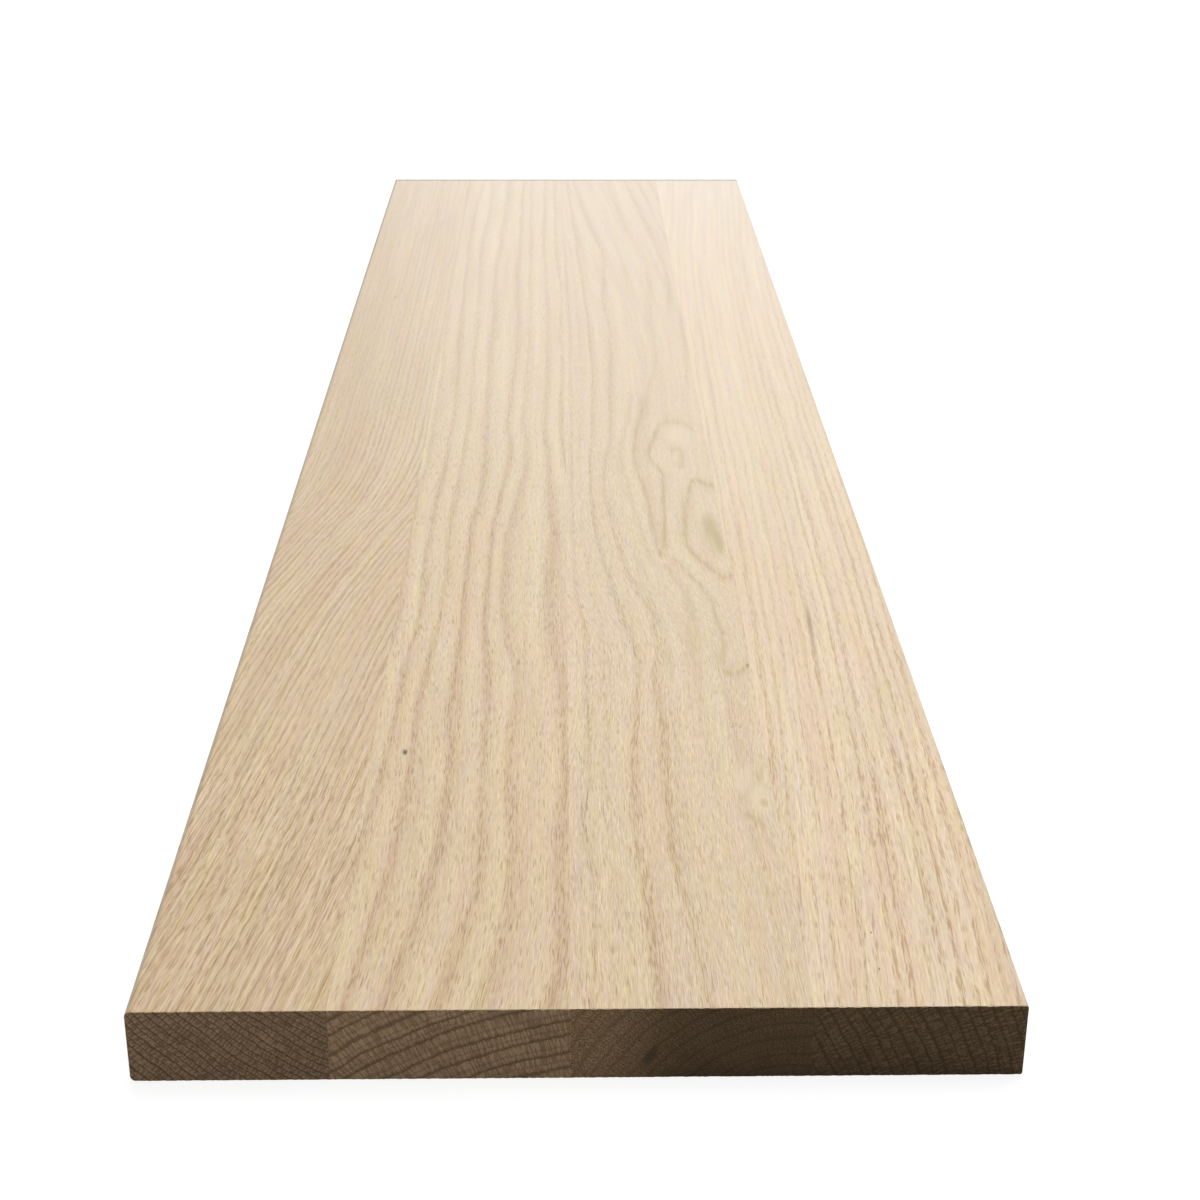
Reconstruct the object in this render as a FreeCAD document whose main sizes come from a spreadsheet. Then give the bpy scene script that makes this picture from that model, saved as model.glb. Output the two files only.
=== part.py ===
"""Edge-glued oak stair tread with a square, eased nosing edge.

Frame: +X along the tread, across the stair; -Y towards the nosing edge; +Z up.
The origin is the middle of the underside. Sizes are in millimetres.
"""

import FreeCAD
import Part
import Sketcher
import os

PARTS_FOLDER = "parts"
SHEET = "Sizes"

# Driving sizes: alias, value, and what it measures
DRIVING_SIZES = (
    ("tread_length", 1219.2, "square-cut length across the stair"),
    ("tread_thickness", 27.0, "planed thickness of the glued board"),
    ("nosing_stave_width", 65.0, "stave along the nosing edge"),
    ("front_middle_stave_width", 78.7, "second stave from the nosing edge"),
    ("back_middle_stave_width", 78.8, "third stave from the nosing edge"),
    ("back_stave_width", 69.6, "stave along the riser edge"),
    ("nosing_ease_radius", 2.0, "sanded round on both arrises of the nosing edge"),
    ("back_ease_radius", 1.0, "sanded round on both arrises of the riser edge"),
)

# Staves in the order they are glued, from the nosing edge to the riser edge
STAVES = ("nosing_stave", "front_middle_stave", "back_middle_stave", "back_stave")

# A vertex this close to a plane lies on it
ON_PLANE = 1e-6


def size(alias):
    """A driving size as the expression that other objects are bound to."""
    return f"{SHEET}.{alias}"


def width(stave):
    """A stave's width as an expression."""
    return size(f"{stave}_width")


def total_width(staves):
    """The width of several glued staves as an expression."""
    return " + ".join(width(stave) for stave in staves)


def make_sheet(doc):
    """The spreadsheet that holds the driving sizes, one aliased cell each."""
    sheet = doc.addObject("Spreadsheet::Sheet", SHEET)
    for row, (alias, value, meaning) in enumerate(DRIVING_SIZES, start=1):
        sheet.set(f"A{row}", alias)
        sheet.set(f"B{row}", str(value))
        sheet.setAlias(f"B{row}", alias)
        sheet.set(f"C{row}", meaning)
    doc.recompute()
    return sheet


def draw_section(body, stave, sheet):
    """The stave's planed section: a rectangle in the YZ plane, its front lower corner at the body's origin."""
    section = body.newObject("Sketcher::SketchObject", f"{stave}_section")
    plane = next(p for p in body.Origin.OriginFeatures if p.Role == "YZ_Plane")
    section.AttachmentSupport = [(plane, "")]
    section.MapMode = "FlatFace"

    across = sheet.get(f"{stave}_width")
    high = sheet.get("tread_thickness")
    corners = [FreeCAD.Vector(y, z, 0) for y, z in ((0, 0), (across, 0), (across, high), (0, high))]
    underside, back, top, front = (
        section.addGeometry(Part.LineSegment(corners[side], corners[(side + 1) % 4])) for side in range(4)
    )

    start_point, end_point, origin = 1, 2, -1
    for side, following in ((underside, back), (back, top), (top, front), (front, underside)):
        section.addConstraint(Sketcher.Constraint("Coincident", side, end_point, following, start_point))
    for level in (underside, top):
        section.addConstraint(Sketcher.Constraint("Horizontal", level))
    for upright in (back, front):
        section.addConstraint(Sketcher.Constraint("Vertical", upright))
    section.addConstraint(Sketcher.Constraint("Coincident", underside, start_point, origin, start_point))

    drivers = (
        ("width", "DistanceX", underside, across, width(stave)),
        ("thickness", "DistanceY", back, high, size("tread_thickness")),
    )
    for name, kind, line, value, driver in drivers:
        constraint = section.addConstraint(
            Sketcher.Constraint(kind, line, start_point, line, end_point, value)
        )
        section.renameConstraint(constraint, name)
        section.setExpression(f"Constraints.{name}", driver)
    return section


def make_stave(doc, stave, sheet):
    """One planed stave: its section run along the tread, placed behind the staves ahead of it."""
    body = doc.addObject("PartDesign::Body", stave)
    body.Label = stave
    pad = body.newObject("PartDesign::Pad", f"{stave}_length")
    pad.Profile = draw_section(body, stave, sheet)
    pad.SideType = "Symmetric"
    pad.setExpression("Length", size("tread_length"))

    ahead = STAVES[: STAVES.index(stave)]
    front_face = f"-({total_width(STAVES)}) / 2"
    if ahead:
        front_face += f" + {total_width(ahead)}"
    body.setExpression("Placement.Base.y", front_face)
    doc.recompute()
    return body


def long_arrises(shape, across):
    """Names of the two edges that run along the tread on the face at that distance from the stave's front."""
    names = []
    for number, edge in enumerate(shape.Edges, start=1):
        first, last = edge.Vertexes[0], edge.Vertexes[-1]
        on_face = all(abs(v.Y - across) < ON_PLANE for v in (first, last))
        if on_face and abs(first.X - last.X) > ON_PLANE:
            names.append(f"Edge{number}")
    return names


def ease_arrises(doc, body, across, radius_alias):
    """Rounds the upper and lower arris of one long face of the stave."""
    sharp = body.Tip
    ease = body.newObject("PartDesign::Fillet", f"{body.Name}_ease")
    ease.Base = (sharp, long_arrises(sharp.Shape, across))
    ease.setExpression("Radius", size(radius_alias))
    doc.recompute()


def check_document(doc, staves):
    """Stops the build where an object failed or a stave is not one sound solid."""
    failed = [o.Label for o in doc.Objects if {"Invalid", "Error"} & set(o.State)]
    if failed:
        raise RuntimeError(f"these objects failed: {failed}")
    for body in staves:
        shape = body.Shape
        if shape.isNull() or not shape.isValid() or len(shape.Solids) != 1:
            raise RuntimeError(f"{body.Label} is not one valid solid")


def main():
    doc = FreeCAD.newDocument("StairTread")
    sheet = make_sheet(doc)
    staves = [make_stave(doc, stave, sheet) for stave in STAVES]
    nosing, back = staves[0], staves[-1]
    ease_arrises(doc, nosing, 0, "nosing_ease_radius")
    ease_arrises(doc, back, sheet.get("back_stave_width"), "back_ease_radius")
    doc.recompute()
    check_document(doc, staves)

    os.makedirs(PARTS_FOLDER, exist_ok=True)
    for body in staves:
        body.Shape.exportStep(os.path.join(PARTS_FOLDER, f"{body.Label}.step"))
        box = body.Shape.BoundBox
        print(f"{body.Label}: Y {box.YMin:.2f} to {box.YMax:.2f}, volume {body.Shape.Volume:.0f} mm3")


main()
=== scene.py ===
import bmesh
import bpy
import random
from math import radians
from mathutils import Matrix, Vector


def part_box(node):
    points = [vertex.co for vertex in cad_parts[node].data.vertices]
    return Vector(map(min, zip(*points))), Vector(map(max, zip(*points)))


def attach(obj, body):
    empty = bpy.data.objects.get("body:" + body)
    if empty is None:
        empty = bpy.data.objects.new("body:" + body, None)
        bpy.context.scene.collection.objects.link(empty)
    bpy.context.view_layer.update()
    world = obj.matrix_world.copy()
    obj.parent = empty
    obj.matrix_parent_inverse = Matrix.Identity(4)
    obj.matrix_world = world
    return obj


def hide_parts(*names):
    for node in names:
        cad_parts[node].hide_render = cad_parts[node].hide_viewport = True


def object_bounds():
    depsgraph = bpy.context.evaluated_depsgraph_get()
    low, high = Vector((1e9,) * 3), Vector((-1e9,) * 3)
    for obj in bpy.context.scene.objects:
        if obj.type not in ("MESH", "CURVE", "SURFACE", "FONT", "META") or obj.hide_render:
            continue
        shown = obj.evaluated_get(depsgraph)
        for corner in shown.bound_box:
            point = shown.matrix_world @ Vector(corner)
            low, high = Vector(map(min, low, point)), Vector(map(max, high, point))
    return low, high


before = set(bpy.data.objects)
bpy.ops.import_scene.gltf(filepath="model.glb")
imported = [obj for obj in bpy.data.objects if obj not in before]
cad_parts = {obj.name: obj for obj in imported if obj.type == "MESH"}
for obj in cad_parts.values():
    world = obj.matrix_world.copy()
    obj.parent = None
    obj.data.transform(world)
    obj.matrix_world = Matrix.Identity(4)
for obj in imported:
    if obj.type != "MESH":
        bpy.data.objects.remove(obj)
cad_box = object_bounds()
bpy.context.scene.view_settings.view_transform = "Standard"


# Nosing stave: the oak strip along the front of the tread, rift-sawn, planed and
# glued by its back edge to the next stave. Both arrises of its outer edge are
# sanded round, and the ends are left as the saw cut them.

MM = 0.001
TOUCHING = 0.01 * MM
NOSING_EASE = 2.0 * MM
EASE_STEPS = 8
END_ARRIS_BREAK = 0.22 * MM
BREAK_STEPS = 2
SMOOTH_ANGLE = radians(25)
SHORTEST_ARRIS = 10 * MM
NICK_SPACING = 0.8 * MM
NICK_SHARE = 0.2
NICKS = ((0.45, 0.10 * MM), (0.72, 0.20 * MM), (0.90, 0.38 * MM))
nick_draw = random.Random(11)


def pick(mesh, parts, wanted):
    """Selects only those vertices, edges or faces of a mesh that satisfy the given test."""
    for part in (*mesh.faces, *mesh.edges, *mesh.verts):
        part.select = False
    for part in parts:
        part.select = wanted(part)
    mesh.select_flush_mode()


def nick_end(stave, end, inward):
    """Chips the arrises of a saw-cut end where open pores break out of them."""
    bpy.ops.mesh.select_mode(type="EDGE")
    mesh = bmesh.from_edit_mesh(stave.data)
    break_reach = 1.1 * END_ARRIS_BREAK
    break_middle = 0.6 * END_ARRIS_BREAK

    def along_end(edge):
        run = edge.verts[1].co - edge.verts[0].co
        return abs(run.y) > SHORTEST_ARRIS and all(abs(v.co.x - end) < break_reach for v in edge.verts)

    pick(mesh, mesh.edges, along_end)
    longest = max(edge.calc_length() for edge in mesh.edges if edge.select)
    bpy.ops.mesh.subdivide(number_cuts=int(longest / NICK_SPACING))
    bpy.ops.mesh.select_mode(type="VERT")
    mesh = bmesh.from_edit_mesh(stave.data)
    for level in (min(v.co.z for v in mesh.verts), max(v.co.z for v in mesh.verts)):
        def on_arris(v):
            inside = TOUCHING < abs(v.co.x - end) < break_reach
            return inside and abs(v.co.z - level) < break_middle
        places = sorted({round(v.co.y / MM, 2) for v in mesh.verts if on_arris(v)})[1:-1]
        draws = {place: nick_draw.random() for place in places}
        for least, depth in NICKS:
            deep = {place for place, draw in draws.items() if least <= draw < least + NICK_SHARE}
            pick(mesh, mesh.verts, lambda v: on_arris(v) and round(v.co.y / MM, 2) in deep)
            bpy.ops.transform.translate(value=(inward * depth, 0, 0))
            mesh = bmesh.from_edit_mesh(stave.data)


def planed_stave(node, piece_name, outer_side=0, ease=0.0):
    """A stave sawn to its CAD box, its outer long arrises rounded and its end arrises broken and nicked."""
    low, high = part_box(node)
    bpy.ops.object.select_all(action="DESELECT")
    bpy.ops.mesh.primitive_cube_add(size=1.0, location=(low + high) / 2, scale=high - low)
    stave = bpy.context.object
    stave.name = piece_name
    bpy.ops.object.transform_apply(location=True, rotation=True, scale=True)
    outer = {-1: low.y, 1: high.y}.get(outer_side)
    glued = [side for side in (low.y, high.y) if side != outer]

    bpy.ops.object.mode_set(mode="EDIT")
    bpy.ops.mesh.select_mode(type="EDGE")
    mesh = bmesh.from_edit_mesh(stave.data)
    if outer is not None:
        for level in (low.z, high.z):
            pick(mesh, mesh.edges, lambda edge: all(
                abs(v.co.y - outer) < TOUCHING and abs(v.co.z - level) < TOUCHING for v in edge.verts
            ))
            bpy.ops.mesh.bevel(offset=ease, segments=EASE_STEPS, profile=0.5, affect="EDGES")
            mesh = bmesh.from_edit_mesh(stave.data)
    for end, inward in ((low.x, 1), (high.x, -1)):
        def open_arris(edge):
            on_glue = any(all(abs(v.co.y - side) < TOUCHING for v in edge.verts) for side in glued)
            return all(abs(v.co.x - end) < TOUCHING for v in edge.verts) and not on_glue
        bpy.ops.mesh.select_mode(type="EDGE")
        pick(mesh, mesh.edges, open_arris)
        bpy.ops.mesh.bevel(offset=END_ARRIS_BREAK, segments=BREAK_STEPS, profile=0.5, affect="EDGES")
        nick_end(stave, end, inward)
        mesh = bmesh.from_edit_mesh(stave.data)
    bpy.ops.mesh.select_all(action="SELECT")
    bpy.ops.mesh.normals_make_consistent(inside=False)
    bpy.ops.object.mode_set(mode="OBJECT")
    bpy.ops.object.shade_smooth_by_angle(angle=SMOOTH_ANGLE)
    bpy.ops.object.modifier_add(type="WEIGHTED_NORMAL")
    stave.modifiers[-1].keep_sharp = True
    bpy.ops.object.modifier_apply(modifier=stave.modifiers[-1].name)
    return stave


def feed(tree, socket, source):
    """Links a socket to its source, or sets it where the source is a plain value."""
    if isinstance(source, bpy.types.NodeSocket):
        tree.links.new(source, socket)
    else:
        socket.default_value = source


def put(tree, kind, settings=None, **inputs):
    """Adds a node with its settings, and feeds the inputs that are named with _ for a space."""
    node = tree.nodes.new(kind)
    for name, value in (settings or {}).items():
        setattr(node, name, value)
    for name, source in inputs.items():
        feed(tree, node.inputs[name.replace("_", " ")], source)
    return node


def calc(tree, operation, *values):
    """One step of arithmetic."""
    node = put(tree, "ShaderNodeMath", {"operation": operation})
    for socket, value in zip(node.inputs, values):
        feed(tree, socket, value)
    return node.outputs["Value"]


def fade(tree, value, start, end, at_start=0.0, at_end=1.0):
    """A smooth step of a value from start to end."""
    node = put(tree, "ShaderNodeMapRange", {"interpolation_type": "SMOOTHSTEP"}, Value=value)
    for name, number in (("From Min", start), ("From Max", end), ("To Min", at_start), ("To Max", at_end)):
        feed(tree, node.inputs[name], number)
    return node.outputs["Result"]


def blend(tree, amount, first, second, mode="MIX"):
    """Two colours mixed by an amount."""
    node = put(tree, "ShaderNodeMix", {"data_type": "RGBA", "blend_type": mode, "clamp_factor": True})
    feed(tree, node.inputs[0], amount)
    feed(tree, node.inputs[6], first)
    feed(tree, node.inputs[7], second)
    return node.outputs[2]


def shade(tree, colour, amount, shares=(1.0, 1.0, 1.0)):
    """A colour made darker or lighter by an amount, each channel by its own share of it."""
    red, green, blue = (calc(tree, "MULTIPLY_ADD", amount, share, 1.0) for share in shares)
    light = put(tree, "ShaderNodeCombineColor", Red=red, Green=green, Blue=blue)
    return blend(tree, 1.0, colour, light.outputs[0], "MULTIPLY")


def curve(tree, value, points):
    """A smooth curve through (place, height) points, each in its own units."""
    places = [place for place, _ in points]
    heights = [height for _, height in points]
    low, span = min(heights), max(max(heights) - min(heights), 1e-6)
    first, reach = places[0], places[-1] - places[0]
    node = put(tree, "ShaderNodeFloatCurve")
    line = node.mapping.curves[0]
    for number, (place, height) in enumerate(points):
        spot = ((place - first) / reach, (height - low) / span)
        if number == 0:
            line.points[0].location = spot
        elif number == len(points) - 1:
            line.points[-1].location = spot
        else:
            line.points.new(*spot)
    for point in line.points:
        point.handle_type = "AUTO_CLAMPED"
    node.mapping.update()
    feed(tree, node.inputs["Value"], calc(tree, "DIVIDE", calc(tree, "SUBTRACT", value, first), reach))
    return calc(tree, "MULTIPLY_ADD", node.outputs["Value"], span, low)


def new_group(name, inputs, outputs):
    """An empty shader group: its tree, what comes in by name, and the sockets that go out by name."""
    tree = bpy.data.node_groups.new(name, "ShaderNodeTree")
    kinds = {"value": "NodeSocketFloat", "colour": "NodeSocketColor", "vector": "NodeSocketVector"}
    for title, kind in inputs:
        tree.interface.new_socket(title, in_out="INPUT", socket_type=kinds[kind])
    for title, kind in outputs:
        tree.interface.new_socket(title, in_out="OUTPUT", socket_type=kinds[kind])
    return tree, put(tree, "NodeGroupInput").outputs, put(tree, "NodeGroupOutput").inputs


def place(tree, group, **inputs):
    """Puts a shader group in a tree and feeds it."""
    return put(tree, "ShaderNodeGroup", {"node_tree": group}, **inputs).outputs


# Where a point of the wood is: millimetres along from the near end, across from the
# nosing edge, and up from the underside
TREAD_LOW, TREAD_HIGH = (corner / MM for corner in cad_box)
measures, got, out = new_group(
    "tread_measures", [("Position", "vector")], [("Along", "value"), ("Across", "value"), ("Up", "value")]
)
part = put(measures, "ShaderNodeSeparateXYZ", Vector=got["Position"]).outputs
feed(measures, out["Along"], calc(measures, "MULTIPLY_ADD", part["X"], -1.0 / MM, TREAD_HIGH.x))
feed(measures, out["Across"], calc(measures, "MULTIPLY_ADD", part["Y"], 1.0 / MM, -TREAD_LOW.y))
feed(measures, out["Up"], calc(measures, "MULTIPLY", part["Z"], 1.0 / MM))

# A soft-edged oval on the board, for a knot, a spot or a swirl in the grain
oval, got, out = new_group(
    "oval_patch",
    [(n, "value") for n in ("Along", "Across", "Middle Along", "Middle Across", "Reach Along",
                            "Reach Across", "Lean", "Steepness")],
    [("Mask", "value")],
)
ahead = calc(oval, "SUBTRACT", got["Along"], got["Middle Along"])
aside = calc(oval, "SUBTRACT", got["Across"], got["Middle Across"])
aside = calc(oval, "MULTIPLY_ADD", ahead, calc(oval, "MULTIPLY", got["Lean"], -1.0), aside)
ahead = calc(oval, "DIVIDE", ahead, got["Reach Along"])
aside = calc(oval, "DIVIDE", aside, got["Reach Across"])
square = calc(oval, "MULTIPLY_ADD", ahead, ahead, calc(oval, "MULTIPLY", aside, aside))
steep = calc(oval, "POWER", square, got["Steepness"])
feed(oval, out["Mask"], calc(oval, "EXPONENT", calc(oval, "MULTIPLY", steep, -1.0)))

# Growth rings round a pith that runs alongside the stave: the ring count, and the
# place of a point in millimetres round the pith and out from it
WAVER_LENGTH, WAVER_WIDTH, WAVER_DEPTH = 85.0, 14.0, 2.6
RING_UNEVENNESS = 0.7
UNEVEN_PER_RING = 0.6
rings, got, out = new_group(
    "growth_rings",
    [(n, "value") for n in ("Along", "Across", "Up", "Guide", "Pith Offset", "Pith Rise", "Ring Width",
                            "Shift")],
    [("Rings", "value"), ("Round", "value"), ("Outward", "value")],
)
beside = calc(rings, "SUBTRACT", got["Across"], calc(rings, "ADD", got["Guide"], got["Pith Offset"]))
over = calc(rings, "SUBTRACT", calc(rings, "SUBTRACT", got["Up"], TREAD_HIGH.z), got["Pith Rise"])
span = calc(rings, "SQRT", calc(rings, "MULTIPLY_ADD", beside, beside, calc(rings, "MULTIPLY", over, over)))
guide_span = calc(
    rings, "SQRT",
    calc(rings, "MULTIPLY_ADD", got["Pith Offset"], got["Pith Offset"],
         calc(rings, "MULTIPLY", got["Pith Rise"], got["Pith Rise"])),
)
turn = calc(rings, "ARCTAN2", beside, over)
guide_turn = calc(
    rings, "ARCTAN2",
    calc(rings, "MULTIPLY", got["Pith Offset"], -1.0), calc(rings, "MULTIPLY", got["Pith Rise"], -1.0),
)
waver = put(
    rings, "ShaderNodeTexNoise", {"noise_dimensions": "3D"}, Scale=1.0, Detail=2.0, Roughness=0.55,
    Vector=put(
        rings, "ShaderNodeCombineXYZ",
        X=calc(rings, "DIVIDE", got["Along"], WAVER_LENGTH),
        Y=calc(rings, "DIVIDE", got["Across"], WAVER_WIDTH),
        Z=calc(rings, "DIVIDE", got["Up"], WAVER_WIDTH),
    ).outputs[0],
).outputs["Fac"]
outward = calc(rings, "SUBTRACT", span, guide_span)
outward = calc(rings, "MULTIPLY_ADD", got["Shift"], got["Ring Width"], outward)
outward = calc(rings, "MULTIPLY_ADD", calc(rings, "SUBTRACT", waver, 0.5), WAVER_DEPTH, outward)
count = calc(rings, "DIVIDE", outward, got["Ring Width"])
uneven = put(
    rings, "ShaderNodeTexNoise", {"noise_dimensions": "1D"}, Scale=1.0, Detail=0.0,
    W=calc(rings, "MULTIPLY", count, UNEVEN_PER_RING),
).outputs["Fac"]
uneven = calc(rings, "SUBTRACT", uneven, 0.5)
feed(rings, out["Rings"], calc(rings, "MULTIPLY_ADD", uneven, RING_UNEVENNESS, count))
feed(rings, out["Round"], calc(rings, "MULTIPLY", calc(rings, "SUBTRACT", turn, guide_turn), guide_span))
feed(rings, out["Outward"], outward)


def grain_place(tree, along, round_, outward, length, width, depth):
    """A place counted in lengths along the grain, widths round the pith and depths out from it."""
    return put(
        tree, "ShaderNodeCombineXYZ",
        X=calc(tree, "DIVIDE", along, length),
        Y=calc(tree, "DIVIDE", round_, width),
        Z=calc(tree, "DIVIDE", outward, depth),
    ).outputs[0]


def streaks(tree, along, round_, outward, length, width, detail=2.0):
    """Noise drawn out along the grain, from about -0.3 to 0.3."""
    where = grain_place(tree, along, round_, outward, length, width, width)
    noise = put(
        tree, "ShaderNodeTexNoise", {"noise_dimensions": "3D"}, Vector=where, Scale=1.0, Detail=detail,
        Roughness=0.6,
    ).outputs["Fac"]
    return calc(tree, "SUBTRACT", noise, 0.5)


# Red oak: soft bands of open earlywood pores between dense latewood, a thread of fine
# fibres, short dark strokes where pores and rays are cut along, and darker ends where
# the rays stand as pale rungs between the rings
OAK_VALUES = (
    "Along", "Round", "Outward", "Rings", "End Grain", "Contrast", "Fine Contrast", "Raggedness",
    "Band Strength", "Line Strength", "Pore Limit", "Pore Strength", "Ray Strength", "Fibre Strength",
    "Fleck Strength", "End Ring Strength", "Rung Strength", "Speck Strength", "Fineness", "Ring Variety",
    "Ring Presence", "Pore Gathering",
)
OAK_COLOURS = (
    "Late Wood", "Early Wood", "Growth Line", "Open Pore", "Ray Fleck", "End Wood", "End Ring", "End Ray",
)

# How the earlywood, the line at its edge and the sawn end's rings come and go over one ring
EARLY_PROFILE = (
    (0.0, 0.98), (0.05, 1.0), (0.14, 0.80), (0.26, 0.45), (0.42, 0.18), (0.60, 0.06), (0.78, 0.12),
    (0.90, 0.55), (1.0, 0.98),
)
LINE_PROFILE = (
    (0.0, 1.0), (0.05, 0.75), (0.12, 0.25), (0.22, 0.0), (0.8, 0.0), (0.90, 0.15), (0.96, 0.7), (1.0, 1.0),
)
END_RING_PROFILE = (
    (0.0, 0.9), (0.05, 1.0), (0.14, 0.7), (0.26, 0.1), (0.40, 0.0), (0.47, 0.45), (0.54, 0.4), (0.62, 0.0),
    (0.9, 0.0), (0.96, 0.4), (1.0, 0.9),
)

# Sizes of the marks in millimetres: along the grain, and across it
TORN_EDGE = (7.0, 0.5)
WAVY_EDGE = (48.0, 1.4)
FIBRE = (30.0, 0.65)
FLECK = (6.5, 0.40)
STRAND = (120.0, 2.2)
TONE = (300.0, 12.0)
BLUSH_STREAK = (190.0, 8.0)
HUE_STREAK = (55.0, 4.5)
FINE_HUE_STREAK = (10.0, 2.0)
MOTTLE_STREAK = (150.0, 8.0)
PORE = (7.5, 0.48)
RAY_LENGTH, RAY_WIDTH, RAY_DEPTH = 11.0, 0.95, 26.0
END_WAVER = (30.0, 1.8)
RUNG_LENGTH, RUNG_WIDTH = 30.0, 0.72
SPECK = (6.0, 0.50)

# Where the marks start and how strongly they show
TORN_SHARE = 0.8
LINE_VARIETY, LEAST_LINE = 1.6, 0.6
BLUSH_START = 900.0
BLUSH_EDGE = (-0.12, 0.2)
BLUSH = (1.00, 0.945, 0.930, 1)
PORE_SOFTNESS = 0.09
RAY_EDGE = (0.36, 0.20)
RAYS_SHOWN = 0.7
FULL_RAY, LEAST_RAY = 0.7, 0.3
STRAND_DRIFT, TONE_DRIFT, STRAND_THREAD = 0.4, 0.7, 0.14
END_WAVER_SHARE = 0.3
RUNG_STEP = 5.3
RUNG_EDGE = (0.44, 0.58)
BROKEN_SHARE, WHOLE_RING = 2.0, 0.85
END_TONE = 0.4

# What each mark does to red, green and blue
BROWN_SHARES = (0.93, 1.18, 1.55)
TONE_SHARES = (-0.22, -0.32, -0.38)
HUE_SHARES = (0.02, 0.07, -0.38)
FINE_HUE_SHARES = (0.02, 0.06, -0.34)
MOTTLE_SHARES = (0.16, 0.19, 0.23)

# The finish: planed faces are smoother than open pores and sawn ends
PLANED_ROUGHNESS, PORE_ROUGHNESS, EARLY_ROUGHNESS, SAWN_ROUGHNESS = 0.32, 0.13, 0.04, 0.8
RAY_DENT, PORE_DENT, FLECK_RISE, RUNG_RISE = -0.25, -0.5, 0.4, 0.4

oak, got, out = new_group(
    "red_oak",
    [(n, "value") for n in OAK_VALUES] + [(n, "colour") for n in OAK_COLOURS],
    [("Color", "colour"), ("Roughness", "value"), ("Height", "value")],
)
grain = (got["Along"], got["Round"], got["Outward"])
strokes = (got["Along"], *(calc(oak, "MULTIPLY", got[n], got["Fineness"]) for n in ("Round", "Outward")))
wavy = streaks(oak, *grain, *WAVY_EDGE)
ragged = calc(oak, "MULTIPLY_ADD", streaks(oak, *grain, *TORN_EDGE), TORN_SHARE, wavy)
count = calc(oak, "MULTIPLY_ADD", ragged, got["Raggedness"], got["Rings"])
phase = calc(oak, "FRACT", count)
nearest = calc(oak, "FLOOR", calc(oak, "ADD", count, 0.5))
ring_draw = put(oak, "ShaderNodeTexWhiteNoise", {"noise_dimensions": "1D"}, W=nearest).outputs["Value"]
variety = calc(oak, "MULTIPLY", calc(oak, "SUBTRACT", ring_draw, 0.5), got["Ring Variety"])
early_level = calc(oak, "MULTIPLY", calc(oak, "ADD", variety, 1.0), got["Ring Presence"])
early = calc(oak, "MULTIPLY", curve(oak, phase, EARLY_PROFILE), early_level)
line_level = calc(oak, "MULTIPLY_ADD", variety, LINE_VARIETY, LEAST_LINE)
line_level = calc(oak, "MULTIPLY", line_level, got["Ring Presence"])
line = calc(oak, "MULTIPLY", curve(oak, phase, LINE_PROFILE), line_level)
fibre = streaks(oak, *strokes, *FIBRE)
fleck = streaks(oak, *strokes, *FLECK, detail=1.0)
strand = streaks(oak, *grain, *STRAND)
tone = streaks(oak, *grain, *TONE)
blush = streaks(oak, calc(oak, "ADD", got["Along"], BLUSH_START), *grain[1:], *BLUSH_STREAK)
blush = fade(oak, blush, *BLUSH_EDGE)

dash = streaks(oak, *strokes, *PORE, detail=0.0)
pore_limit = calc(oak, "SUBTRACT", got["Pore Limit"], calc(oak, "MULTIPLY", early, got["Pore Gathering"]))
pore = fade(oak, dash, pore_limit, calc(oak, "ADD", pore_limit, PORE_SOFTNESS))

ray_cell = put(
    oak, "ShaderNodeTexVoronoi", {"voronoi_dimensions": "3D"}, Scale=1.0,
    Vector=grain_place(oak, *grain, RAY_LENGTH, RAY_WIDTH, RAY_DEPTH),
).outputs
ray_draw = put(oak, "ShaderNodeSeparateColor", Color=ray_cell["Color"]).outputs
ray = fade(oak, ray_cell["Distance"], *RAY_EDGE)
ray = calc(oak, "MULTIPLY", ray, calc(oak, "LESS_THAN", ray_draw["Red"], RAYS_SHOWN))
ray = calc(oak, "MULTIPLY", ray, calc(oak, "MULTIPLY_ADD", ray_draw["Green"], FULL_RAY, LEAST_RAY))

band = calc(oak, "MULTIPLY", early, got["Band Strength"])
face = blend(oak, calc(oak, "MULTIPLY", band, got["Contrast"]), got["Late Wood"], got["Early Wood"])
drift = calc(oak, "MULTIPLY_ADD", strand, STRAND_DRIFT, calc(oak, "MULTIPLY", tone, TONE_DRIFT))
face = shade(oak, face, drift, TONE_SHARES)
face = blend(oak, blush, face, blend(oak, 1.0, face, BLUSH, "MULTIPLY"))
for size, shares in (
    (HUE_STREAK, HUE_SHARES), (FINE_HUE_STREAK, FINE_HUE_SHARES), (MOTTLE_STREAK, MOTTLE_SHARES),
):
    face = shade(oak, face, streaks(oak, *grain, *size), shares)
thread = calc(oak, "MULTIPLY", fibre, got["Fibre Strength"])
thread = calc(oak, "MULTIPLY_ADD", fleck, got["Fleck Strength"], thread)
thread = calc(oak, "MULTIPLY_ADD", strand, STRAND_THREAD, thread)
face = shade(oak, face, calc(oak, "MULTIPLY", thread, got["Fine Contrast"]), BROWN_SHARES)
for mark, strength, tint in (
    (line, "Line Strength", "Growth Line"), (ray, "Ray Strength", "Ray Fleck"),
    (pore, "Pore Strength", "Open Pore"),
):
    amount = calc(oak, "MULTIPLY", calc(oak, "MULTIPLY", mark, got[strength]), got["Fine Contrast"])
    face = blend(oak, amount, face, got[tint])

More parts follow.
